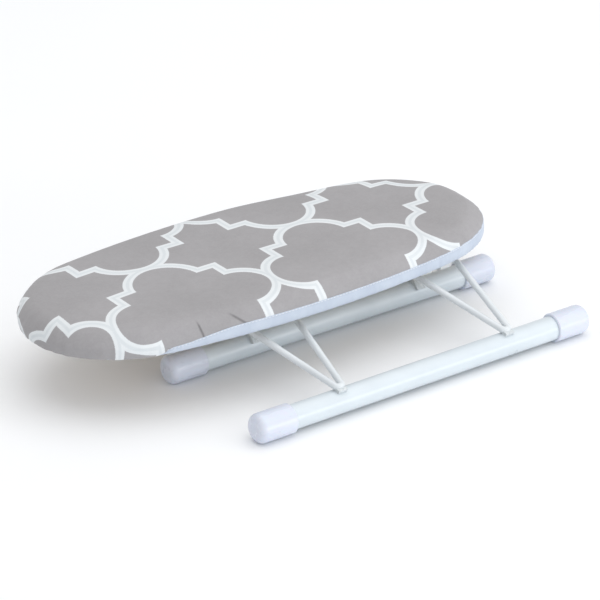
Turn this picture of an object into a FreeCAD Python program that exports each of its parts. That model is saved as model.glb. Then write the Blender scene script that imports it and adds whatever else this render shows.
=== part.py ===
"""Small tabletop ironing board: a padded, fabric-covered board on two folding leg frames.

Frame: +X runs along the board towards its tail, +Y from the front leg to the rear leg,
+Z up.  The origin is on the table, under the middle of the whole object as it stands
with both leg frames swung low.  Millimetres.
"""
import FreeCAD, Part
import math
import os

V = FreeCAD.Vector
doc = FreeCAD.newDocument("IroningBoard")

# ---------------------------------------------------------------- driving sizes
SIZES = {
    # board plan
    "board_len": 470.6,      # nose to tail over the cover
    "board_half": 100.0,      # half width over the cover
    "board_x": -1.7,         # middle of the board
    "board_y": 42.4,
    "nose_run": 83.5,        # length over which the nose rounds off
    "tail_run": 90.5,       # length over which the tail rounds off
    "nose_pow": 2.2,
    "tail_pow": 2.6,
    "side_bow": 0.286,       # how much narrower the ends of the long sides are
    # board heights
    "top_z": 84.0,
    "panel_z": 60.5,
    "panel_thick": 7.0,
    "panel_inset": 5.0,
    "cloth_thick": 0.9,
    "skirt_z": 67.0,         # lower edge of the printed cloth, top of the white binding
    "hem_z": 58.0,           # lowest edge of the binding
    # leg frames
    "tube_rad": 11.0,
    "tube_wall": 1.5,
    "foot_len": 362.0,       # tube with both end caps
    "foot_x": 56.0,          # middle of both tubes
    "cap_rad": 13.3,
    "cap_len": 37.0,
    "cap_end": 3.0,
    "cap_bore": 11.05,
    "front_y": -129.1,
    "rear_y": 3.9,
    "foot_z": 13.3,
    "pivot_off": 105.0,      # pivot line is this far behind its tube, as it stands
    "pivot_z": 49.0,
    "wire_rad": 3.0,
    "strut_half": 25.0,      # half width of a strut at the pivots
    "pin_len": 22.0,
    "hairpin_rad": 3.6,
    "bend_rad": 5.0,
    "station_a": -36.0,      # middle of the left strut along X
    "station_b": 147.5,      # middle of the right strut along X
    # hinge clips and their screws
    "clip_wide": 12.0,
    "clip_span": 25.0,
    "clip_plate": 1.8,
    "eye_rad": 5.4,
    "eye_bore": 3.05,
    "neck_wide": 9.0,
    "screw_rad": 1.5,
    "screw_long": 6.0,
    "screw_head": 3.0,
    "screw_off": 9.0,
}
sheet = doc.addObject("Spreadsheet::Sheet", "Sizes")
for row, (key, val) in enumerate(SIZES.items(), start=1):
    sheet.set("A%d" % row, key)
    sheet.set("B%d" % row, repr(float(val)))
    sheet.setAlias("B%d" % row, key)
doc.recompute()


def size(key):
    return float(sheet.get(key))


NODES = []


def keep(obj, label):
    obj.Label = label
    NODES.append(obj)
    return obj


def bind(obj, **kw):
    for prop, expr in kw.items():
        obj.setExpression(prop.replace("__", "."), expr)
    return obj


def cyl_x(name, rad, length, x=None, y=None, z=None):
    """A Part::Cylinder lying along X, its sizes and its place bound to the sheet."""
    c = doc.addObject("Part::Cylinder", name)
    c.Placement = FreeCAD.Placement(V(0, 0, 0), FreeCAD.Rotation(V(0, 1, 0), 90))
    bind(c, Radius=rad, Height=length)
    if x is not None:
        bind(c, Placement__Base__x=x)
    if y is not None:
        bind(c, Placement__Base__y=y)
    if z is not None:
        bind(c, Placement__Base__z=z)
    return c


def box(name, lx, ly, lz, x, y, z):
    b = doc.addObject("Part::Box", name)
    return bind(b, Length=lx, Width=ly, Height=lz, Placement__Base__x=x,
                Placement__Base__y=y, Placement__Base__z=z)


def polygon_sketch(body, name, plane, pts):
    """A closed polygon whose corners are all dimensioned from the origin.  pts holds
    (expression, expression) pairs over the sheet, all of them positive or zero."""
    sk = body.newObject("Sketcher::SketchObject", name)
    origin = [f for f in body.Origin.OriginFeatures if f.Role == plane][0]
    sk.AttachmentSupport = [(origin, "")]
    sk.MapMode = "FlatFace"
    names = {k: size(k) for k in SIZES}

    def value(expr):
        txt = expr
        for k in sorted(names, key=len, reverse=True):
            txt = txt.replace("Sizes." + k, repr(names[k]))
        total = 0.0
        # sums and differences of products are all that the profiles need
        for term in txt.replace(" - ", " + -1*").split(" + "):
            prod = 1.0
            for f in term.split("*"):
                prod *= float(f)
            total += prod
        return total

    vals = [(value(a), value(b)) for a, b in pts]
    n = len(pts)
    for i in range(n):
        a, b = vals[i], vals[(i + 1) % n]
        sk.addGeometry(Part.LineSegment(V(a[0], a[1], 0), V(b[0], b[1], 0)), False)
    import Sketcher
    for i in range(n):
        sk.addConstraint(Sketcher.Constraint("Coincident", i, 2, (i + 1) % n, 1))
    for i, (ea, eb) in enumerate(pts):
        for axis, expr, v in (("X", ea, vals[i][0]), ("Y", eb, vals[i][1])):
            if abs(v) < 1e-9:
                sk.addConstraint(Sketcher.Constraint("PointOnObject", i, 1,
                                                     -2 if axis == "X" else -1))
            else:
                k = sk.addConstraint(Sketcher.Constraint("Distance" + axis, -1, 1, i, 1, v))
                cname = "p%d%s" % (i, axis.lower())
                sk.renameConstraint(k, cname)
                sk.setExpression("Constraints." + cname, expr)
    return sk


# ---------------------------------------------------------------- plan of the board
def plan_points(inset):
    """Points of the board's outline, moved inwards by inset along its normal."""
    half_l, half_w = size("board_len") / 2, size("board_half")
    runs = {-1: (size("nose_run"), size("nose_pow")), 1: (size("tail_run"), size("tail_pow"))}
    bow = size("side_bow")

    def upper(count):
        out = []
        run, power = runs[-1]
        for i in range(count + 1):
            a = math.pi / 2 * i / count
            out.append((-half_l + run - run * math.cos(a) ** (2 / power),
                        half_w * math.sin(a) ** (2 / power)))
        x0, x1 = -half_l + run, half_l - runs[1][0]
        for i in range(1, 5):
            out.append((x0 + (x1 - x0) * i / 5, half_w))
        run, power = runs[1]
        for i in range(count, -1, -1):
            a = math.pi / 2 * i / count
            out.append((half_l - run + run * math.cos(a) ** (2 / power),
                        half_w * math.sin(a) ** (2 / power)))
        return [(x, y * (1 - bow * (x / half_l) ** 2)) for x, y in out]

    up = upper(9)
    ring = up + [(x, -y) for x, y in reversed(up[1:-1])]
    n = len(ring)
    pts = []
    for i in range(n):
        (xa, ya), (xb, yb) = ring[i - 1], ring[(i + 1) % n]
        tx, ty = xb - xa, yb - ya
        d = math.hypot(tx, ty)
        # the ring runs clockwise, so its inner side is to the right of the tangent
        nx, ny = ty / d, -tx / d
        pts.append((ring[i][0] + nx * inset, ring[i][1] + ny * inset))
    return pts


def plan_wire(inset, z):
    curve = Part.BSplineCurve()
    curve.interpolate([V(size("board_x") + x, size("board_y") + y, z)
                       for x, y in plan_points(inset)], PeriodicFlag=True)
    return Part.Wire([curve.toShape()])


def layered(levels):
    """A closed solid through the outline at each (inset, z) level."""
    wires = [plan_wire(i, z) for i, z in levels]
    faces = [Part.Face(wires[0]), Part.Face(wires[-1])]
    for lower, higher in zip(wires[:-1], wires[1:]):
        faces.append(Part.makeRuledSurface(lower.Edges[0], higher.Edges[0]))
    skin = Part.Compound(faces)
    skin.sewShape()
    solid = Part.Solid(skin.Shells[0])
    if solid.Volume < 0:
        solid.reverse()
    return solid


def hoop(levels, inner_inset):
    """A band round the outline: its outside follows the levels, its inside is upright."""
    wires = [plan_wire(i, z) for i, z in levels]
    z0, z1 = levels[0][1], levels[-1][1]
    low, high = plan_wire(inner_inset, z0), plan_wire(inner_inset, z1)
    faces = [Part.Face(wires[0]).cut(Part.Face(low)).Faces[0],
             Part.Face(wires[-1]).cut(Part.Face(high)).Faces[0],
             Part.makeRuledSurface(low.Edges[0], high.Edges[0])]
    for lower, higher in zip(wires[:-1], wires[1:]):
        faces.append(Part.makeRuledSurface(lower.Edges[0], higher.Edges[0]))
    skin = Part.Compound(faces)
    skin.sewShape()
    solid = Part.Solid(skin.Shells[0])
    if solid.Volume < 0:
        solid.reverse()
    return solid


def slab(inset, z0, z1):
    face = Part.Face(plan_wire(inset, z0))
    return face.extrude(V(0, 0, z1 - z0))


def feature(label, shape):
    """A Part::Feature for a shape that no primitive or body describes."""
    f = doc.addObject("Part::Feature", label)
    f.Shape = shape
    f.Placement = FreeCAD.Placement()
    return keep(f, label)


top, skirt, hem = size("top_z"), size("skirt_z"), size("hem_z")
cloth = size("cloth_thick")
# outer skin of the cover: (inset, drop below the top)
SHOULDER = [(0.7, 17.0), (1.2, 15.4), (3.2, 11.4), (6.0, 7.3), (9.5, 4.1), (14.5, 1.6),
            (22.0, 0.3), (34.0, 0.0)]
outer_levels = [(i, top - d) for i, d in SHOULDER]
inner_levels = [(i + cloth, top - d - cloth * min(1.0, i / 14.0)) for i, d in SHOULDER]
inner_levels[0] = (inner_levels[0][0], skirt)

outer = layered(outer_levels)
inner = layered(inner_levels)
panel_top = size("panel_z") + size("panel_thick")

# ---------------------------------------------------------------- hinge stations
PIVOTS = {"front": size("front_y") + size("pivot_off"), "rear": size("rear_y") + size("pivot_off")}
STATIONS = [size("station_a"), size("station_b")]
pin_mid = 11.0                       # middle of a hinge clip, from the middle of its strut
clip_x = [s + sgn * pin_mid for s in STATIONS for sgn in (-1, 1)]

# ---------------------------------------------------------------- board
panel = slab(size("panel_inset"), size("panel_z"), panel_top)
for y in PIVOTS.values():
    for x in clip_x:
        for dy in (-size("screw_off"), size("screw_off")):
            panel = panel.cut(Part.makeCylinder(size("screw_rad") + 0.02, size("screw_long") - 1.7,
                                                V(x, y + dy, size("panel_z") - 0.1)))
feature("board_panel", panel)
pad = inner.cut(slab(size("panel_inset") - 0.05, skirt - 5, panel_top + 0.02))
feature("padding", pad)
feature("cover_fabric", outer.cut(inner))

# the white binding sewn round the lower edge of the cover, with its elastic inside
feature("cover_binding", hoop([(1.6, hem), (0.4, hem + 1.3), (0.0, hem + 3.7),
                               (0.3, hem + 7.3), (0.7, skirt)], 3.2))
feature("hem_elastic", slab(3.5, hem + 1.0, hem + 6.0).cut(slab(4.7, hem + 0.9, hem + 6.1)))

# ---------------------------------------------------------------- leg tubes and end caps
half_foot = "Sizes.foot_x - Sizes.foot_len / 2"
for leg in ("front", "rear"):
    y = "Sizes.%s_y" % leg
    tube_len = "Sizes.foot_len - 2 * Sizes.cap_end - 1"
    tube_x = half_foot + " + Sizes.cap_end + 0.5"
    o = cyl_x(leg + "_tube_outer", "Sizes.tube_rad", tube_len, tube_x, y, "Sizes.foot_z")
    i = cyl_x(leg + "_tube_inner", "Sizes.tube_rad - Sizes.tube_wall", tube_len + " + 4",
              tube_x + " - 2", y, "Sizes.foot_z")
    cut = doc.addObject("Part::Cut", leg + "_tube")
    cut.Base, cut.Tool = o, i
    keep(cut, leg + "_leg_tube")

    for side, sgn in (("left", -1), ("right", 1)):
        body = doc.addObject("PartDesign::Body", leg + "_" + side + "_cap_body")
        sk = polygon_sketch(body, leg + "_" + side + "_cap_profile", "XZ_Plane", [
            ("0", "0"), ("0", "Sizes.cap_rad"), ("Sizes.cap_len", "Sizes.cap_rad"),
            ("Sizes.cap_len", "Sizes.cap_bore"), ("Sizes.cap_end", "Sizes.cap_bore"),
            ("Sizes.cap_end", "0")])
        rev = body.newObject("PartDesign::Revolution", leg + "_" + side + "_cap_turn")
        rev.Profile = sk
        rev.ReferenceAxis = (sk, ["H_Axis"])
        rev.Angle = 360
        doc.recompute()
        edges = []
        for k, e in enumerate(rev.Shape.Edges, start=1):
            if isinstance(e.Curve, Part.Circle) and abs(e.Curve.Radius - size("cap_rad")) < 1e-6 \
                    and abs(e.Curve.Center.x) < 1e-6:
                edges.append("Edge%d" % k)
        fil = body.newObject("PartDesign::Fillet", leg + "_" + side + "_cap_round")
        fil.Base = (rev, edges)
        fil.Radius = 6.5
        doc.recompute()
        edges = []
        for k, e in enumerate(fil.Shape.Edges, start=1):
            if isinstance(e.Curve, Part.Circle) and abs(e.Curve.Radius - size("cap_rad")) < 1e-6 \
                    and abs(e.Curve.Center.x - size("cap_len")) < 1e-6:
                edges.append("Edge%d" % k)
        cham = body.newObject("PartDesign::Chamfer", leg + "_" + side + "_cap_lip")
        cham.Base = (fil, edges)
        cham.Size = 0.8
        body.Tip = cham
        body.Placement = FreeCAD.Placement(
            V(size("foot_x") + sgn * size("foot_len") / 2, size(leg + "_y"), size("foot_z")),
            FreeCAD.Rotation(V(0, 0, 1), 0 if sgn < 0 else 180))
        keep(body, "%s_%s_end_cap" % (leg, side))
doc.recompute()

# ---------------------------------------------------------------- bent wire struts
wire_r, tube_r = size("wire_rad"), size("tube_rad")
off, drop = size("pivot_off"), size("pivot_z") - size("foot_z")
# the strut lies in a plane through the pivot line that rests on top of the tube
reach = math.hypot(off, drop)
tilt = math.atan2(drop, off) - math.asin((wire_r + tube_r + 0.02) / reach)
along = math.sqrt(reach ** 2 - (wire_r + tube_r + 0.02) ** 2)
hp = size("hairpin_rad")
cv = along - 6.0                     # centre of the hairpin, from the pivot line


def strut_path(x_mid, y_piv):
    """Centre line of one strut: pin, bend, side, hairpin, side, bend, pin."""
    c, s = math.cos(tilt), math.sin(tilt)

    def at(u, v):
        return V(x_mid + u, y_piv - v * c, size("pivot_z") - v * s)

    h, b = size("strut_half"), size("bend_rad")
    # tangent from the corner (-h, 0) to the hairpin circle about (0, cv)
    d = math.hypot(h, cv)
    base = math.atan2(cv, h)
    ang = base + math.asin(hp / d)    # direction of the side, seen from the left corner
    tl = math.sqrt(d * d - hp * hp)
    tx, tv = -h + tl * math.cos(ang), tl * math.sin(ang)
    # the bend between the pin and the side
    turn = math.pi - ang              # the pins point inwards, towards each other
    set_back = b * math.tan(turn / 2)
    pu = -h + set_back
    su, sv = -h + set_back * math.cos(ang), set_back * math.sin(ang)
    bc = (pu, b)                      # centre of the bend, on the apex side of the pin
    mid_dir = math.atan2((0 - b) + (sv - b), (pu - bc[0]) + (su - bc[0]))
    mu, mv = bc[0] + b * math.cos(mid_dir), bc[1] + b * math.sin(mid_dir)
    end = -h + size("pin_len")
    left = [Part.LineSegment(at(end, 0), at(pu, 0)),
            Part.Arc(at(pu, 0), at(mu, mv), at(su, sv)),
            Part.LineSegment(at(su, sv), at(tx, tv))]
    hair = Part.Arc(at(tx, tv), at(0, cv + hp), at(-tx, tv))
    right = [Part.LineSegment(at(-tx, tv), at(-su, sv)),
             Part.Arc(at(-su, sv), at(-mu, mv), at(-pu, 0)),
             Part.LineSegment(at(-pu, 0), at(-end, 0))]
    edges = [g.toShape() for g in left + [hair] + right]
    length = sum(e.Length for e in edges)
    return Part.Wire(edges), at(end, 0), length


struts = {}
for leg in ("front", "rear"):
    for side, x_mid in zip(("left", "right"), STATIONS):
        path, start, length = strut_path(x_mid, PIVOTS[leg])
        ring = Part.Wire([Part.makeCircle(wire_r, start, V(-1, 0, 0))])
        solid = path.makePipeShell([ring], True, False)
        want = math.pi * wire_r ** 2 * length
        if abs(solid.Volume - want) > 0.01 * want:
            raise RuntimeError("%s %s strut: %.0f mm3, not %.0f" % (leg, side, solid.Volume, want))
        struts[leg, side] = solid
        feature("%s_%s_strut" % (leg, side), solid)

# weld metal between each hairpin and its tube
for leg in ("front", "rear"):
    beads = []
    for side, x_mid in zip(("left", "right"), STATIONS):
        y0, z0 = size(leg + "_y"), size("foot_z")
        ring = Part.makeCylinder(tube_r + 3.4, 9.0, V(x_mid - 4.5, y0, z0), V(1, 0, 0))
        core = Part.makeCylinder(tube_r + 0.01, 30.0, V(x_mid - 15, y0, z0), V(1, 0, 0))
        # a saddle over the top of the tube, longer down the front on the rear leg
        lo, hi = (-26.0, 12.0) if leg == "front" else (-62.0, 10.0)
        pts = [V(x_mid - 10, y0, z0)]
        for k in range(7):
            a = math.radians(lo + (hi - lo) * k / 6)
            pts.append(V(x_mid - 10, y0 + 30 * math.sin(a), z0 + 30 * math.cos(a)))
        pts.append(pts[0])
        wedge = Part.Face(Part.makePolygon(pts)).extrude(V(20, 0, 0))
        bead = ring.common(wedge).cut(core)
        bead = bead.cut(struts[leg, side])
        solids = sorted(bead.Solids, key=lambda q: -q.Volume)
        beads.append(solids[0])
    feature("%s_welds" % leg, Part.makeCompound(beads))

# ---------------------------------------------------------------- hinge clips
for leg in ("front", "rear"):
    for n, x in enumerate(clip_x, start=1):
        tag = "%s_clip%d" % (leg, n)
        plate = box(tag + "_plate", "Sizes.clip_wide", "Sizes.clip_span", "Sizes.clip_plate",
                    "-Sizes.clip_wide / 2", "-Sizes.clip_span / 2",
                    "Sizes.panel_z - Sizes.pivot_z - Sizes.clip_plate")
        neck = box(tag + "_neck", "Sizes.clip_wide", "Sizes.neck_wide",
                   "Sizes.panel_z - Sizes.pivot_z - 0.5", "-Sizes.clip_wide / 2",
                   "-Sizes.neck_wide / 2", "0")
        eye = cyl_x(tag + "_eye", "Sizes.eye_rad", "Sizes.clip_wide", "-Sizes.clip_wide / 2")
        bore = cyl_x(tag + "_bore", "Sizes.eye_bore", "Sizes.clip_wide + 4",
                     "-Sizes.clip_wide / 2 - 2")
        body = doc.addObject("Part::MultiFuse", tag + "_fused")
        body.Shapes = [plate, neck, eye]
        holes = []
        for m, sg in enumerate(("-", "")):
            hole = doc.addObject("Part::Cylinder", "%s_hole%d" % (tag, m))
            bind(hole, Radius="Sizes.screw_rad + 0.2", Height="12",
                 Placement__Base__y=sg + "Sizes.screw_off")
            holes.append(hole)
        tools = doc.addObject("Part::MultiFuse", tag + "_bores")
        tools.Shapes = [bore] + holes
        cut = doc.addObject("Part::Cut", tag)
        cut.Base, cut.Tool = body, tools
        cut.Placement = FreeCAD.Placement(V(x, PIVOTS[leg], size("pivot_z")), FreeCAD.Rotation())
        keep(cut, "%s_hinge_clip_%d" % (leg, n))

# pan-head screws through the clips into the panel
screw_body = doc.addObject("PartDesign::Body", "clip_screw_body")
screw_sk = polygon_sketch(screw_body, "clip_screw_profile", "XZ_Plane", [
    ("0", "0"), ("Sizes.screw_head", "0"), ("Sizes.screw_head", "1.2"), ("Sizes.screw_rad", "2"),
    ("Sizes.screw_rad", "Sizes.screw_long + 1"), ("0", "Sizes.screw_long + 2")])
turn = screw_body.newObject("PartDesign::Revolution", "clip_screw_turn")
turn.Profile = screw_sk
turn.ReferenceAxis = (screw_sk, ["V_Axis"])
turn.Angle = 360
doc.recompute()
for leg in ("front", "rear"):
    group = []
    for x in clip_x:
        for dy in (-size("screw_off"), size("screw_off")):
            one = turn.Shape.copy()
            one.translate(V(x, PIVOTS[leg] + dy, size("panel_z") - size("clip_plate") - 2.02))
            group.append(one)
    feature("%s_clip_screws" % leg, Part.makeCompound(group))

# ---------------------------------------------------------------- checks and export
doc.recompute()
for obj in doc.Objects:
    bad = [s for s in obj.State if s in ("Invalid", "Error")]
    if bad:
        raise RuntimeError("%s is %s" % (obj.Name, bad))
os.makedirs("parts", exist_ok=True)
for obj in NODES:
    if obj.Shape.isNull() or not obj.Shape.isValid():
        raise RuntimeError("%s has no valid shape" % obj.Label)
everything = FreeCAD.BoundBox()
for obj in NODES:
    obj.Shape.exportStep("parts/%s.step" % obj.Label)
    bb = obj.Shape.optimalBoundingBox()
    everything.add(bb)
    print("%-22s %2d solid  %10.0f mm3  x %.1f..%.1f y %.1f..%.1f z %.1f..%.1f" % (
        obj.Label, len(obj.Shape.Solids), obj.Shape.Volume, bb.XMin, bb.XMax, bb.YMin, bb.YMax,
        bb.ZMin, bb.ZMax))
print("whole", everything)
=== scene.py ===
import math

import bmesh
import bpy
import numpy as np
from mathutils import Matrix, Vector


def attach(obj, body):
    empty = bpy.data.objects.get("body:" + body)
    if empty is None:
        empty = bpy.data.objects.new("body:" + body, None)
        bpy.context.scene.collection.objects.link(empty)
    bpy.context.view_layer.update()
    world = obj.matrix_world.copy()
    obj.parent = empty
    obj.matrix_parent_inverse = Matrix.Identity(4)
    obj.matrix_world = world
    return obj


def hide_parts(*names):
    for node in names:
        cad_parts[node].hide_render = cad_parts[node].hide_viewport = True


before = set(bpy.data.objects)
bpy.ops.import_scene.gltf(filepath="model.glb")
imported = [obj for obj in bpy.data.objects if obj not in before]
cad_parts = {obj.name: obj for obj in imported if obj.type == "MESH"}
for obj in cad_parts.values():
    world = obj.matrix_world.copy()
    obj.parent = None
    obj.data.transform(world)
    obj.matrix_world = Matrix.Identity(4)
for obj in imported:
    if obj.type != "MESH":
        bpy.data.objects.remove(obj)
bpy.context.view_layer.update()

MM = 0.001

# ------------------------------------------------------------------ plan of the board
HALF_L, HALF_W = 235.3, 100.0
CENTRE = (-1.7, 42.4)
NOSE, TAIL, BOW = (83.5, 2.2), (90.5, 2.6), 0.286


def outline(count):
    """count points evenly round the cover's outline and their outward normals, in mm from the
    board's middle, anticlockwise from the tail's end, with the distance run."""
    k = 400
    ang = np.linspace(0, math.pi / 2, k)
    tail = np.stack([HALF_L - TAIL[0] + TAIL[0] * np.cos(ang) ** (2 / TAIL[1]),
                     HALF_W * np.sin(ang) ** (2 / TAIL[1])], 1)
    x0, x1 = -HALF_L + NOSE[0], HALF_L - TAIL[0]
    mid = np.stack([np.linspace(x1, x0, 302)[1:-1], np.full(300, HALF_W)], 1)
    nose = np.stack([-HALF_L + NOSE[0] - NOSE[0] * np.cos(ang[::-1]) ** (2 / NOSE[1]),
                     HALF_W * np.sin(ang[::-1]) ** (2 / NOSE[1])], 1)
    up = np.concatenate([tail, mid, nose])
    ring = np.concatenate([up, (up * [1, -1])[::-1][1:-1]])
    ring[:, 1] *= 1 - BOW * (ring[:, 0] / HALF_L) ** 2
    closed = np.concatenate([ring, ring[:1]])
    run = np.concatenate([[0], np.cumsum(np.linalg.norm(np.diff(closed, axis=0), axis=1))])
    s = np.linspace(0, run[-1], count, endpoint=False)
    p = np.stack([np.interp(s, run, closed[:, j]) for j in (0, 1)], 1)
    step = max(2, count // 120)
    t = np.roll(p, -step, 0) - np.roll(p, step, 0)
    t /= np.linalg.norm(t, axis=1)[:, None]
    n = np.stack([t[:, 1], -t[:, 0]], 1)
    return p, n, s, run[-1]


def smooth(a, b, x):
    t = np.clip((np.asarray(x, float) - a) / (b - a), 0, 1)
    return t * t * (3 - 2 * t)


def waves(s, total, lengths, seed):
    """A smooth uneven ripple round the outline, about -1 to 1, that joins up with itself."""
    rng = np.random.RandomState(seed)
    out = np.zeros_like(s)
    for length in lengths:
        n = max(1, round(total / length))
        wander = 1.1 * np.sin(2 * math.pi * s / total * rng.randint(3, 9) + rng.uniform(0, 6.28))
        out += np.sin(2 * math.pi * s / total * n + rng.uniform(0, 6.28) + wander)
    return out / len(lengths)


def tucked(x):
    """1 round the nose, where the printed cloth runs down over the edge, 0 along the board."""
    return 1 - smooth(-161, -147, x)


# ------------------------------------------------------------------ mesh helpers
def mesh_object(name, verts, faces, flat=None):
    me = bpy.data.meshes.new(name)
    me.from_pydata([tuple(v) for v in verts], [], faces)
    me.validate()
    if flat is not None:
        uv = me.uv_layers.new(name="Cloth")
        idx = np.empty(len(me.loops), int)
        me.loops.foreach_get("vertex_index", idx)
        uv.data.foreach_set("uv", np.asarray(flat, float)[idx].ravel())
    me.polygons.foreach_set("use_smooth", [True] * len(me.polygons))
    me.update()
    ob = bpy.data.objects.new(name, me)
    bpy.context.scene.collection.objects.link(ob)
    return ob


def facing_out(ob):
    """Turns a closed mesh's faces outwards."""
    bm = bmesh.new()
    bm.from_mesh(ob.data)
    bmesh.ops.recalc_face_normals(bm, faces=bm.faces)
    bm.to_mesh(ob.data)
    bm.free()


def ring_faces(rows, n, first=0, closed=False):
    out = []
    for j in range(rows if closed else rows - 1):
        a, b = first + j * n, first + ((j + 1) % rows) * n
        for i in range(n):
            k = (i + 1) % n
            out.append((a + i, a + k, b + k, b + i))
    return out


def place(p, n, inset, z):
    """Points inset mm inside the outline at height z, in metres, in the shared frame."""
    q = p - n * np.asarray(inset)[:, None]
    return np.stack([(q[:, 0] + CENTRE[0]) * MM, (q[:, 1] + CENTRE[1]) * MM,
                     np.asarray(z) * MM], 1)


# ------------------------------------------------------------------ material helpers
class Net:
    """A material's node tree, with arithmetic on its sockets."""

    def __init__(self, name):
        self.mat = bpy.data.materials.new(name)
        self.mat.use_nodes = True
        self.nt = self.mat.node_tree
        self.bsdf = next(n for n in self.nt.nodes if n.type == "BSDF_PRINCIPLED")

    def node(self, kind, **props):
        n = self.nt.nodes.new(kind)
        for k, v in props.items():
            setattr(n, k, v)
        return n

    def feed(self, socket, value):
        if isinstance(value, (int, float)):
            socket.default_value = value
        elif isinstance(value, (tuple, list)):
            socket.default_value = (*value, 1.0) if len(value) == 3 and len(socket.default_value) == 4 else value
        else:
            self.nt.links.new(value, socket)

    def math(self, op, *args, clamp=False):
        n = self.node("ShaderNodeMath", operation=op, use_clamp=clamp)
        for s, a in zip(n.inputs, args):
            self.feed(s, a)
        return n.outputs[0]

    def add(self, a, b): return self.math("ADD", a, b)
    def sub(self, a, b): return self.math("SUBTRACT", a, b)
    def mul(self, a, b): return self.math("MULTIPLY", a, b)

    def step(self, value, lo, hi):
        n = self.node("ShaderNodeMapRange", interpolation_type="SMOOTHSTEP")
        self.feed(n.inputs[0], value)
        n.inputs[1].default_value, n.inputs[2].default_value = lo, hi
        n.inputs[3].default_value, n.inputs[4].default_value = 0.0, 1.0
        return n.outputs[0]

    def span(self, value, lo, hi, to_lo, to_hi):
        n = self.node("ShaderNodeMapRange")
        self.feed(n.inputs[0], value)
        for k, v in zip((1, 2, 3, 4), (lo, hi, to_lo, to_hi)):
            n.inputs[k].default_value = v
        return n.outputs[0]

    def place(self):
        return self.node("ShaderNodeTexCoord").outputs["Object"]

    def noise(self, vec, scale, detail=2.0, rough=0.5):
        n = self.node("ShaderNodeTexNoise")
        if vec is not None:
            self.feed(n.inputs["Vector"], vec)
        n.inputs["Scale"].default_value = scale
        n.inputs["Detail"].default_value = detail
        n.inputs["Roughness"].default_value = rough
        return n.outputs[0]

    def cells(self, vec, scale):
        n = self.node("ShaderNodeTexVoronoi")
        self.feed(n.inputs["Vector"], vec)
        n.inputs["Scale"].default_value = scale
        return n.outputs["Distance"]

    def mix(self, fac, a, b, blend="MIX"):
        n = self.node("ShaderNodeMix", data_type="RGBA", blend_type=blend)
        self.feed(n.inputs[0], fac)
        self.feed(n.inputs[6], a)
        self.feed(n.inputs[7], b)
        return n.outputs[2]

    def colour(self, value): self.feed(self.bsdf.inputs["Base Color"], value)
    def rough(self, value): self.feed(self.bsdf.inputs["Roughness"], value)
    def set(self, name, value): self.bsdf.inputs[name].default_value = value

    def bump(self, height, strength, distance):
        n = self.node("ShaderNodeBump")
        n.inputs["Strength"].default_value = strength
        n.inputs["Distance"].default_value = distance
        self.feed(n.inputs["Height"], height)
        self.nt.links.new(n.outputs["Normal"], self.bsdf.inputs["Normal"])


def cloth_axes(m):
    uv = m.node("ShaderNodeUVMap", uv_map="Cloth").outputs[0]
    sep = m.node("ShaderNodeSeparateXYZ")
    m.feed(sep.inputs[0], uv)
    return uv, m.mul(sep.outputs[0], 1000.0), m.mul(sep.outputs[1], 1000.0)


def weave(m, x, y, pitch):
    """Threads over and under each other, 0 to 1."""
    a = m.math("SINE", m.mul(x, 2 * math.pi / pitch))
    b = m.math("SINE", m.mul(y, 2 * math.pi / pitch))
    return m.add(m.mul(m.mul(a, b), 0.5), 0.5)


def crease(m, x, y, a, b, width):
    """1 on the line from a to b on the flat cloth, fading to 0 at width and towards a."""
    dx, dy = b[0] - a[0], b[1] - a[1]
    length = math.hypot(dx, dy)
    ux, uy = dx / length, dy / length
    px, py = m.sub(x, a[0]), m.sub(y, a[1])
    along = m.add(m.mul(px, ux), m.mul(py, uy))
    across = m.math("ABSOLUTE", m.sub(m.mul(px, uy), m.mul(py, ux)))
    near = m.sub(1.0, m.step(across, 0.0, width))
    inside = m.mul(m.step(along, 0.0, length * 0.45),
                   m.sub(1.0, m.step(along, length, length + 1.5)))
    return m.mul(near, inside)


# ------------------------------------------------------------------ printed cotton cover
PX, PY, CX, CY = 160.54, 154.6, -104.98, -15.0
BOX_A, BOX_B, SIDE_X, SIDE_R, END_Y, END_R = 52.37, 49.1, 48.99, 31.28, 41.58, 35.7
BAND = 4.3


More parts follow.
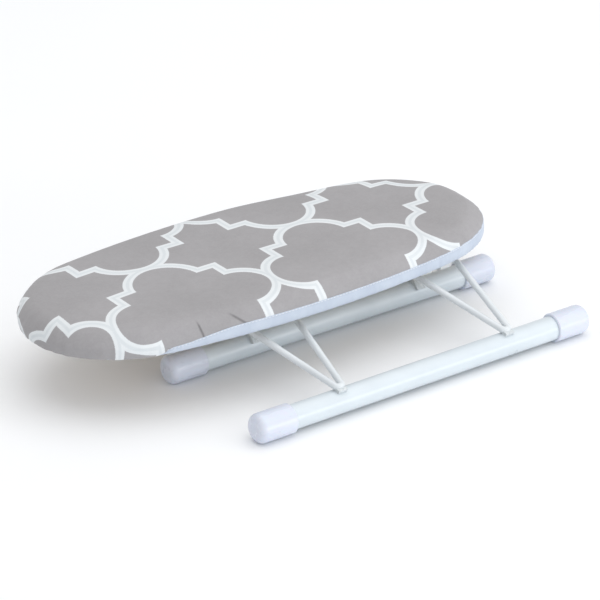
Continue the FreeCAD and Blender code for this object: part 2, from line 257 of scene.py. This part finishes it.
def printed_cotton(creases):
    m = Net("printed_cotton")
    uv, x, y = cloth_axes(m)
    wob = m.noise(uv, 900.0, 2.0)
    # the cloth is pulled a little towards the nose, and leans along the near side
    pull = m.span(x, -115.0, -235.0, 0.0, 1.2)
    lean = m.step(y, -45.0, -5.0)
    xw = m.add(x, m.add(m.mul(pull, 6.4), m.sub(3.0, m.mul(lean, 3.0))))
    xw = m.add(xw, m.span(wob, 0.3, 0.7, -0.22, 0.22))
    yw = m.add(y, m.mul(pull, 8.8))
    yw = m.add(yw, m.sub(5.0, m.mul(m.step(y, -64.0, -48.0), 5.0)))
    ax = m.math("ABSOLUTE", m.math("WRAP", m.sub(xw, CX), PX / 2, -PX / 2))
    ay = m.math("ABSOLUTE", m.math("WRAP", m.sub(yw, CY), PY / 2, -PY / 2))

    def disc(cx, cy, r):
        dx, dy = m.sub(ax, cx), m.sub(ay, cy)
        return m.sub(m.math("SQRT", m.add(m.mul(dx, dx), m.mul(dy, dy))), r)

    square = m.math("MAXIMUM", m.sub(ax, BOX_A), m.sub(ay, BOX_B))
    sdf = m.math("MINIMUM", square, m.math("MINIMUM", disc(SIDE_X, 0.0, SIDE_R), disc(0.0, END_Y, END_R)))
    band = m.sub(1.0, m.step(m.math("ABSOLUTE", sdf), BAND - 0.35, BAND + 0.35))
    w = weave(m, x, y, 0.62)
    slub = m.noise(uv, 420.0, 3.0, 0.6)
    cloud = m.noise(uv, 14.0, 2.0)
    grey = m.mix(m.span(cloud, 0.35, 0.65, 0.0, 1.0), (0.333, 0.324, 0.334), (0.372, 0.362, 0.374))
    grey = m.mix(m.mul(m.span(slub, 0.35, 0.7, 0.0, 1.0), 0.30), grey, (0.44, 0.43, 0.442))
    grey = m.mix(m.mul(m.span(m.noise(uv, 130.0, 3.0, 0.6), 0.4, 0.7, 0.0, 1.0), 0.22), grey, (0.29, 0.28, 0.287))
    white = m.mix(m.span(cloud, 0.3, 0.7, 0.0, 1.0), (0.74, 0.775, 0.80), (0.79, 0.82, 0.84))
    core = m.sub(1.0, m.step(m.math("ABSOLUTE", sdf), 0.7, 2.0))
    white = m.mix(m.mul(core, 0.34), white, (0.53, 0.585, 0.62))
    col = m.mix(band, grey, white)
    # painted shade between the threads: the cloth is darkened where the weave dips
    col = m.mix(m.mul(m.sub(1.0, w), 0.14), col, (0.12, 0.115, 0.115))
    crease_shade_and_dent = None
    for a, b, width in creases:
        c = crease(m, x, y, a, b, width)
        crease_shade_and_dent = c if crease_shade_and_dent is None else m.math("MAXIMUM", crease_shade_and_dent, c)
    # painted shade: the cloth is darkened along the creases, where shade falls in the tucks
    col = m.mix(m.mul(crease_shade_and_dent, 0.45), col, (0.05, 0.047, 0.047))
    m.colour(col)
    m.rough(m.span(slub, 0.3, 0.7, 0.74, 0.88))
    m.set("Specular IOR Level", 0.28)
    m.set("Sheen Weight", 0.10)
    m.set("Sheen Roughness", 0.45)
    h = m.add(m.mul(w, 0.06), m.mul(slub, 0.05))
    h = m.sub(m.add(h, m.mul(m.noise(uv, 45.0, 2.0), 0.25)), m.mul(crease_shade_and_dent, 1.2))
    m.bump(h, 0.55, 0.001)
    return m.mat


def tape_cotton():
    """White gathered binding: a fine rib across, threads with painted shade between them, faint shading in the
    folds.
    """
    m = Net("binding_cotton")
    uv, s, d = cloth_axes(m)
    w = weave(m, s, d, 0.7)
    rib = m.noise(uv, 260.0, 3.0, 0.6)
    fold = m.noise(uv, 60.0, 2.0)
    col = m.mix(m.span(fold, 0.3, 0.7, 0.0, 1.0), (0.50, 0.56, 0.66), (0.56, 0.62, 0.71))
    # painted shade between the threads: the tape is darkened where the weave dips
    col = m.mix(m.mul(m.sub(1.0, w), 0.10), col, (0.40, 0.44, 0.54))
    m.colour(col)
    m.rough(m.span(rib, 0.3, 0.7, 0.68, 0.85))
    m.set("Specular IOR Level", 0.3)
    m.set("Sheen Weight", 0.12)
    m.set("Sheen Roughness", 0.4)
    m.bump(m.add(m.mul(w, 0.08), m.mul(rib, 0.22)), 0.5, 0.001)
    return m.mat


def thread():
    m = Net("sewing_thread")
    v = m.place()
    n = m.noise(v, 5000.0, 2.0)
    m.colour(m.mix(n, (0.80, 0.80, 0.83), (0.92, 0.92, 0.93)))
    m.rough(m.span(n, 0.3, 0.7, 0.5, 0.7))
    m.bump(n, 0.4, 0.0002)
    return m.mat


def elastic_cord():
    m = Net("braided_elastic")
    uv, s, d = cloth_axes(m)
    diag = m.math("SINE", m.add(m.mul(s, 2 * math.pi / 1.1), m.mul(d, 1.6)))
    back = m.math("SINE", m.sub(m.mul(s, 2 * math.pi / 1.1), m.mul(d, 1.6)))
    w = m.add(m.mul(m.math("MAXIMUM", diag, back), 0.5), 0.5)
    # painted shade: the cord is darker in the grooves of the braid and lighter on the raised strands
    m.colour(m.mix(w, (0.62, 0.62, 0.62), (0.90, 0.90, 0.89)))
    m.rough(m.span(w, 0.0, 1.0, 0.8, 0.6))
    m.bump(w, 0.5, 0.0003)
    return m.mat


def foam():
    m = Net("felt_wadding")
    v = m.place()
    fibre, cell = m.noise(v, 900.0, 4.0, 0.7), m.cells(v, 420.0)
    m.colour(m.mix(m.span(fibre, 0.3, 0.7, 0.0, 1.0), (0.70, 0.69, 0.65), (0.86, 0.85, 0.81)))
    m.rough(m.span(fibre, 0.3, 0.7, 0.85, 0.98))
    m.set("Sheen Weight", 0.15)
    m.set("Sheen Roughness", 0.6)
    m.bump(m.add(fibre, m.mul(cell, 0.5)), 0.6, 0.0007)
    return m.mat


def fibreboard():
    m = Net("fibreboard")
    v = m.place()
    speck, cloud, chip = m.noise(v, 650.0, 4.0, 0.7), m.noise(v, 26.0, 3.0), m.cells(v, 240.0)
    col = m.mix(m.span(cloud, 0.3, 0.7, 0.0, 1.0), (0.60, 0.53, 0.45), (0.68, 0.61, 0.53))
    col = m.mix(m.mul(m.span(speck, 0.45, 0.72, 0.0, 1.0), 0.5), col, (0.42, 0.35, 0.28))
    col = m.mix(m.mul(m.span(chip, 0.0, 0.5, 1.0, 0.0), 0.18), col, (0.75, 0.66, 0.54))
    m.colour(col)
    m.rough(m.span(speck, 0.3, 0.7, 0.58, 0.80))
    m.set("Specular IOR Level", 0.35)
    m.bump(m.add(speck, m.mul(chip, 0.4)), 0.35, 0.0004)
    return m.mat


def powder_coat(name, base, other, peel=1100.0):
    """Baked enamel on steel: an even white, a fine orange peel and softly varying gloss."""
    m = Net(name)
    v = m.place()
    skin, cloud, dust = m.noise(v, peel, 2.0), m.noise(v, 30.0, 3.0), m.noise(v, 2600.0, 1.0)
    col = m.mix(m.span(cloud, 0.3, 0.7, 0.0, 1.0), base, other)
    col = m.mix(m.mul(m.span(dust, 0.6, 0.8, 0.0, 1.0), 0.10), col, (0.50, 0.52, 0.54))
    m.colour(col)
    m.rough(m.span(cloud, 0.3, 0.7, 0.27, 0.37))
    m.set("Specular IOR Level", 0.5)
    m.set("Coat Weight", 0.25)
    m.set("Coat Roughness", 0.15)
    m.bump(skin, 0.12, 0.0003)
    return m.mat


def moulded(name, base, other, gloss):
    """Moulded plastic: slight flow marks and a fine texture from the tool."""
    m = Net(name)
    v = m.place()
    stretch = m.node("ShaderNodeMapping")
    m.feed(stretch.inputs[0], v)
    stretch.inputs["Scale"].default_value = (0.25, 1.0, 1.0)
    flow, grain = m.noise(stretch.outputs[0], 90.0, 3.0), m.noise(v, 1800.0, 2.0)
    m.colour(m.mix(m.span(flow, 0.3, 0.7, 0.0, 1.0), base, other))
    m.rough(m.span(flow, 0.3, 0.7, gloss, gloss + 0.08))
    m.set("Specular IOR Level", 0.5)
    m.set("Subsurface Weight", 0.06)
    m.set("Subsurface Scale", 0.003)
    m.bump(m.add(m.mul(grain, 0.5), flow), 0.10, 0.0004)
    return m.mat


def zinc_screw():
    m = Net("zinc_screw")
    v = m.place()
    fine, cloud = m.noise(v, 2400.0, 3.0), m.noise(v, 300.0, 2.0)
    m.colour(m.mix(m.span(cloud, 0.3, 0.7, 0.0, 1.0), (0.55, 0.56, 0.57), (0.70, 0.70, 0.69)))
    m.set("Metallic", 1.0)
    m.rough(m.span(fine, 0.3, 0.7, 0.26, 0.44))
    m.bump(fine, 0.2, 0.0002)
    return m.mat


def weld_coat():
    """Weld metal under the same enamel: a rippled bead."""
    m = Net("weld_under_enamel")
    v = m.place()
    lump, skin = m.noise(v, 420.0, 3.0, 0.6), m.noise(v, 1100.0, 2.0)
    m.colour(m.mix(m.span(lump, 0.3, 0.7, 0.0, 1.0), (0.50, 0.54, 0.56), (0.69, 0.73, 0.75)))
    m.rough(m.span(lump, 0.3, 0.7, 0.30, 0.46))
    m.set("Coat Weight", 0.2)
    m.set("Coat Roughness", 0.2)
    m.bump(m.add(lump, m.mul(skin, 0.2)), 0.7, 0.0009)
    return m.mat


# ------------------------------------------------------------------ cover
SHOULDER = np.array([(0.7, 17.0), (1.2, 15.4), (3.2, 11.4), (6.0, 7.3), (9.5, 4.1), (14.5, 1.6),
                     (22.0, 0.3), (34.0, 0.0)])
TOP = 84.0


def shoulder(count):
    """Even steps up the rounded edge: (inset, drop) and the distance left to the flat top."""
    k = np.linspace(0, 7, 400)
    base = np.arange(8)
    # a smooth curve through the levels
    pts = np.stack([np.interp(k, base, SHOULDER[:, j]) for j in (0, 1)], 1)
    for _ in range(260):
        pts[1:-1] = 0.25 * pts[:-2] + 0.5 * pts[1:-1] + 0.25 * pts[2:]
    run = np.concatenate([[0], np.cumsum(np.linalg.norm(np.diff(pts, axis=0), axis=1))])
    s = np.linspace(0, run[-1], count)
    return np.stack([np.interp(s, run, pts[:, j]) for j in (0, 1)], 1), run[-1] - s


def sink(x, y, inset):
    """How far the wadding has gone flat near the rim, most at the rear of the tail, mm."""
    tail = smooth(20, 120, x) * smooth(0, 60, y)
    return (1 - smooth(2.0, 52.0, inset)) * (0.3 + 3.2 * tail)


def seam_lift(x):
    """How far the seam stands above its usual height: the binding is deepest round the tail."""
    return -3.4 + 6.2 * smooth(-152, -82, x) + 1.0 * smooth(120, 190, x)


N = 900
p, n, s, total = outline(N)
ends = np.clip(np.abs(p[:, 0]) / 150.0 - 0.75, 0, 1)         # 0 on the long sides, 1 at the ends
gather = waves(s, total, (23, 15, 11), 7) * (0.10 + 0.42 * ends)
slack = waves(s, total, (160, 97, 61), 11)
tuck = tucked(p[:, 0])
edge, left = shoulder(26)
rows, flats = [], []
# below the shoulder at the nose, the cloth runs on down and turns under the edge
for t in (1.0, 0.86, 0.72, 0.58, 0.44, 0.30, 0.15):
    z = 67.0 + seam_lift(p[:, 0]) * (1 - tuck) - (8.6 * tuck + 0.25) * t
    inset = edge[0, 0] + tuck * (1.5 * smooth(0.35, 1.0, t) * t + 0.3 * math.sin(math.pi * t)) + 0.25 * t
    inset = inset - gather * (0.6 + 0.8 * t * tuck)
    rows.append(place(p, n, inset, z + 0.10 * slack))
    flats.append(p + n * (left[0] - 34.0 - seam_lift(p[:, 0]) * (1 - tuck) + 9.0 * t * tuck + 0.25 * t)[:, None])
for (inset, drop), rest in zip(edge, left):
    fade = 1 - smooth(0.0, 22.0, inset)
    rise = math.sin(math.pi * min(1.0, drop / 17.0))
    inset_now = inset - gather * fade * 0.9 + 0.12 * slack * rise
    low = sink(p[:, 0], p[:, 1], inset) * smooth(17.0, 9.0, drop)
    lift = seam_lift(p[:, 0]) * (1 - tuck) * smooth(5.0, 17.0, drop)
    rows.append(place(p, n, inset_now, TOP - drop - low + lift + 0.10 * slack * (1 - fade)))
    flats.append(p + n * (rest - 34.0 - lift)[:, None])
# the flat top, row by row in to the middle line
inner = p - n * 34.0
mid = np.stack([np.clip(p[:, 0], -HALF_L + 96, HALF_L - 96), np.zeros(N)], 1)
steps = 22


def undulate(q):
    """Slight quilted unevenness of the wadding under the cloth, mm, never above the top."""
    x, y = q[:, 0], q[:, 1]
    u = (np.sin(x / 37.0 + 1.2 * np.sin(y / 41.0)) * np.sin(y / 33.0 + 0.7)
         + 0.5 * np.sin(x / 17.0 - y / 23.0 + 2.0))
    return 0.16 * u - 0.24


for j in range(1, steps + 1):
    u = j / (steps + 0.35)
    q = inner * (1 - u) + mid * u
    w = smooth(0.0, 0.3, u)
    depth = 34.0 + u * np.linalg.norm(inner - mid, axis=1)
    z = TOP + undulate(q) * w + 0.10 * slack * (1 - w) - sink(p[:, 0], p[:, 1], depth)
    rows.append(np.stack([(q[:, 0] + CENTRE[0]) * MM, (q[:, 1] + CENTRE[1]) * MM, z * MM], 1))
    flats.append(q)
n_rows = len(rows)
verts = np.concatenate(rows)
verts[:, 2] = np.minimum(verts[:, 2], TOP * MM)
flat = np.concatenate(flats)
flat = np.stack([(flat[:, 0] + CENTRE[0]) * MM, (flat[:, 1] + CENTRE[1]) * MM], 1)
# the last narrow ring is closed by a strip across from each point to its mirror image
faces = [f[::-1] for f in ring_faces(n_rows, N)]
last = (n_rows - 1) * N
for i in range(0, N // 2):
    a, b = last + i, last + i + 1
    c, d = last + (N - i - 1) % N, last + (N - i) % N
    quad = [a, b, c, d]
    quad = [v for k, v in enumerate(quad) if v not in quad[:k]]
    if len(quad) >= 3:
        faces.append(tuple(quad))
cover = mesh_object("cover", verts, faces, flat)
facing_out(cover)
if cover.data.polygons[(n_rows - 4) * N].normal.z < 0:
    cover.data.flip_normals()


# small tucks pressed into the near side of the cover, as lines on the flat cloth: dented by bump, with painted
# shade darkening the cloth along them
CREASES = [((-122.8, -40.0), (-121.4, -57.5), 1.7),
           ((-93.5, -43.5), (-79.0, -60.0), 2.0),
           ((-70.0, 141.0), (-62.0, 149.0), 1.5),
           ((40.0, 142.0), (47.0, 151.5), 1.6),
           ((-150.0, 118.0), (-157.0, 129.0), 1.5)]
cover.data.materials.append(printed_cotton(CREASES))
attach(cover, "board")
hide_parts("cover_fabric")

# ------------------------------------------------------------------ wadding under it
NP = 360
pp, pn, ps, ptotal = outline(NP)
lump = waves(ps, ptotal, (70, 41, 27), 3)
rows = []
prof = [(6.5, 67.8), (3.9, 67.9)]
pe, _ = shoulder(12)
for inset, drop in pe:
    prof.append((inset + 2.2, min(TOP - drop - 1.3, TOP - 1.4)))
prof[2] = (3.3, 68.6)
for inset, z in prof:
    rows.append(place(pp, pn, np.full(NP, inset) + 0.25 * lump,
                      z - sink(pp[:, 0], pp[:, 1], inset - 2.2) * smooth(67.0, 75.0, z)))
inner_p = pp - pn * 36.2
mid_p = np.stack([np.clip(pp[:, 0], -HALF_L + 98, HALF_L - 98), np.zeros(NP)], 1)
for j in range(1, 9):
    u = j / 8.35
    q = inner_p * (1 - u) + mid_p * u
    depth = 34.0 + u * np.linalg.norm(inner_p - mid_p, axis=1)
    rows.append(np.stack([(q[:, 0] + CENTRE[0]) * MM, (q[:, 1] + CENTRE[1]) * MM,
                          (TOP - 1.4 + undulate(q) * smooth(0, 0.3, u)
                           - sink(pp[:, 0], pp[:, 1], depth)) * MM], 1))
top_rows = len(rows)
under = []
for u in (0.0, 0.25, 0.5, 0.75, 1.0 / 1.044):
    q = (pp - pn * 12.0) * (1 - u) + mid_p * u
    under.append(np.stack([(q[:, 0] + CENTRE[0]) * MM, (q[:, 1] + CENTRE[1]) * MM,
                           np.full(NP, 67.75) * MM], 1))
rows = under[::-1] + rows
verts = np.concatenate(rows)
faces = [f[::-1] for f in ring_faces(len(rows), NP)]
for base, flip in (((len(rows) - 1) * NP, False), (0, True)):
    for i in range(0, NP // 2):
        quad = [base + i, base + i + 1, base + (NP - i - 1) % NP, base + (NP - i) % NP]
        quad = [v for k, v in enumerate(quad) if v not in quad[:k]]
        if len(quad) >= 3:
            faces.append(tuple(quad[::-1] if flip else quad))
pad = mesh_object("wadding_pad", verts, faces)
facing_out(pad)
pad.data.materials.append(foam())
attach(pad, "board")
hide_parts("padding")

# ------------------------------------------------------------------ gathered white binding
NB = 1800
bp, bn, bs, btotal = outline(NB)
bends = np.clip(np.abs(bp[:, 0]) / 150.0 - 0.75, 0, 1)
fine = waves(bs, btotal, (8.3, 6.1, 11.7), 21)
broad = waves(bs, btotal, (54, 37, 83), 23)
bt = tucked(bp[:, 0])
# (inset, z, share of the gathers), round the section from the seam, over the outside and under
SECTION = [(2.2, 67.3, 0.0), (1.05, 67.5, 0.05), (0.45, 67.2, 0.08), (0.30, 66.5, 0.12), (0.55, 65.9, 0.15),
           (0.25, 65.0, 0.30), (-0.10, 63.6, 0.55), (-0.15, 62.0, 0.80), (0.15, 60.4, 0.95),
           (0.80, 59.2, 1.0), (1.9, 58.4, 1.0), (3.4, 58.05, 0.9), (5.2, 58.2, 0.8), (7.0, 58.7, 0.8),
           (8.1, 59.3, 0.6), (8.2, 59.9, 0.5), (7.0, 60.1, 0.4), (5.2, 59.7, 0.4), (3.5, 59.6, 0.3),
           (2.6, 60.4, 0.2), (2.2, 62.2, 0.1), (2.1, 64.6, 0.0)]
rows, flats, run = [], [], 0.0
prev = None
for inset, z, share in SECTION:
    # at the nose the band shrinks to the part that is turned under the edge
    zz = np.where(bt > 0, (58.15 + (z - 58.15) * (1 - 0.93 * bt)), z)
    zz = zz + seam_lift(bp[:, 0]) * (1 - bt) * smooth(61.0, 67.0, z)
    ii = inset + bt * (2.9 - 0.25 * inset)
    amp = share * (0.20 + 0.30 * bends) * (1 - 0.45 * bt)
    ii = ii - fine * amp - broad * 0.22 * share
    zz = zz - np.abs(fine) * 0.18 * share * (z < 60.0) + 0.12 * broad * share * (z > 60)
    rows.append(place(bp, bn, ii, np.minimum(zz, 60.25) if z <= 60.3 else zz))
    run += 0.0 if prev is None else math.hypot(inset - prev[0], z - prev[1])
    prev = (inset, z)
    flats.append(np.stack([bs * MM, np.full(NB, run * MM)], 1))
verts = np.concatenate(rows)
faces = [f[::-1] for f in ring_faces(len(rows), NB, closed=True)]
binding = mesh_object("binding", verts, faces, np.concatenate(flats))
facing_out(binding)
binding.data.materials.append(tape_cotton())
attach(binding, "board")
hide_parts("cover_binding")

# ------------------------------------------------------------------ elastic in its hem
NE = 900
ep, en, es, etotal = outline(NE)
wig = waves(es, etotal, (31, 19, 47), 31)
rows, flats = [], []
for k in range(8):
    a = 2 * math.pi * k / 8
    rows.append(place(ep, en, 8.9 + 0.25 * wig + 0.85 * math.cos(a), 59.1 + 0.65 * np.sin(a) * np.ones(NE)))
    flats.append(np.stack([es * MM, np.full(NE, k * 0.7 * MM)], 1))
elastic = mesh_object("edge_elastic", np.concatenate(rows),
                      ring_faces(8, NE, closed=True), np.concatenate(flats))
facing_out(elastic)
elastic.data.materials.append(elastic_cord())
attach(elastic, "board")
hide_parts("hem_elastic")

# ------------------------------------------------------------------ stitches along the seam
count = int(total / 3.4)
tp, tn, ts, ttotal = outline(count * 2)
tt = tucked(tp[:, 0])
rise = seam_lift(tp[:, 0])
sv, sf = [], []
half, rad = 1.05, 0.17
tang = np.stack([-tn[:, 1], tn[:, 0]], 1)
for i in range(0, count * 2, 2):
    if tt[i] > 0.5:
        continue
    base = len(sv)
    for k, (off, r) in enumerate(((-half, 0.25), (-half * 0.7, 0.9), (0.0, 1.0), (half * 0.7, 0.9), (half, 0.25))):
        for a in range(6):
            ang = 2 * math.pi * a / 6
            lift = 0.10 * (1 - (off / half) ** 2)
            q = tp[i] + tang[i] * off + tn[i] * (-0.36 + lift + rad * r * math.cos(ang))
            sv.append(((q[0] + CENTRE[0]) * MM, (q[1] + CENTRE[1]) * MM,
                       (66.55 + rise[i] + rad * r * math.sin(ang)) * MM))
    for k in range(4):
        for a in range(6):
            b = (a + 1) % 6
            sf.append((base + k * 6 + a, base + k * 6 + b, base + k * 6 + 6 + b, base + k * 6 + 6 + a))
    sf.append(tuple(base + a for a in range(5, -1, -1)))
    sf.append(tuple(base + 24 + a for a in range(6)))
stitches = mesh_object("seam_stitches", sv, sf)
facing_out(stitches)
stitches.data.materials.append(thread())
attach(stitches, "board")

# ------------------------------------------------------------------ finishes of the CAD nodes
steel = powder_coat("white_enamel_tube", (0.60, 0.66, 0.705), (0.65, 0.71, 0.75))
wire = powder_coat("white_enamel_wire", (0.64, 0.68, 0.71), (0.70, 0.735, 0.76), 1500.0)
caps = moulded("white_cap_plastic", (0.61, 0.65, 0.755), (0.66, 0.695, 0.785), 0.24)
nylon = moulded("white_nylon", (0.66, 0.69, 0.70), (0.73, 0.75, 0.755), 0.38)
screws, welds, board_mat = zinc_screw(), weld_coat(), fibreboard()


def finish_of(name):
    if name == "board_panel":
        return board_mat
    if "clip_screws" in name:
        return screws
    if "hinge_clip" in name:
        return nylon
    if "end_cap" in name:
        return caps
    if "strut" in name:
        return wire
    if "welds" in name:
        return welds
    return steel


for name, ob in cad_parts.items():
    if ob.type != "MESH":
        continue
    mat = finish_of(name)
    if not ob.material_slots:
        ob.data.materials.append(mat)
    for sl in ob.material_slots:
        sl.material = mat

# ------------------------------------------------------------------ floor, light, camera
floor_net = Net("pale_floor")
fn = floor_net.noise(floor_net.place(), 3.0, 2.0)
floor_net.colour(floor_net.mix(fn, (0.90, 0.912, 0.93), (0.93, 0.938, 0.95)))
floor_net.rough(0.85)
floor_net.set("Specular IOR Level", 0.1)
floor = mesh_object("floor", [(-14, -14, 0), (14, -14, 0), (14, 14, 0), (-14, 14, 0)], [(0, 1, 2, 3)])
floor.data.materials.append(floor_net.mat)


def area(name, where, at, size, power, colour=(1, 1, 1)):
    d = bpy.data.lights.new(name, "AREA")
    d.shape = "RECTANGLE"
    d.size, d.size_y = size
    d.energy = power
    d.color = colour
    o = bpy.data.objects.new(name, d)
    o.location = where
    o.rotation_euler = (Vector(at) - Vector(where)).to_track_quat("-Z", "Y").to_euler()
    bpy.context.scene.collection.objects.link(o)
    return o


area("top_light", (0.3, 0.1, 2.6), (0, 0, 0), (3.4, 3.4), 36)
area("key_light", (1.9, -1.7, 1.9), (0, 0, 0.05), (1.5, 1.5), 8, (0.98, 0.99, 1.0))
area("fill_light", (0.7, -2.7, 0.42), (0, 0.05, 0.02), (3.0, 0.8), 30, (0.95, 0.975, 1.0))

world = bpy.data.worlds.new("studio")
world.use_nodes = True
bg = next(k for k in world.node_tree.nodes if k.type == "BACKGROUND")
bg.inputs["Color"].default_value = (1.0, 1.0, 1.0, 1.0)
bg.inputs["Strength"].default_value = 0.70
bpy.context.scene.world = world
bpy.context.scene.view_settings.view_transform = "Standard"

cam_data = bpy.data.cameras.new("camera")
cam_data.lens, cam_data.sensor_width = 181.56, 36.0
cam_data.clip_start, cam_data.clip_end = 0.05, 60.0
cam = bpy.data.objects.new("camera", cam_data)
aim = Vector((0.05215, 0.04915, 0.0133))
back = Vector((-0.5280, -0.7268, 0.4393)).normalized()
cam.location = aim + back * 2.756
cam.rotation_euler = (-back).to_track_quat("-Z", "Y").to_euler()
bpy.context.scene.collection.objects.link(cam)
bpy.context.scene.camera = cam
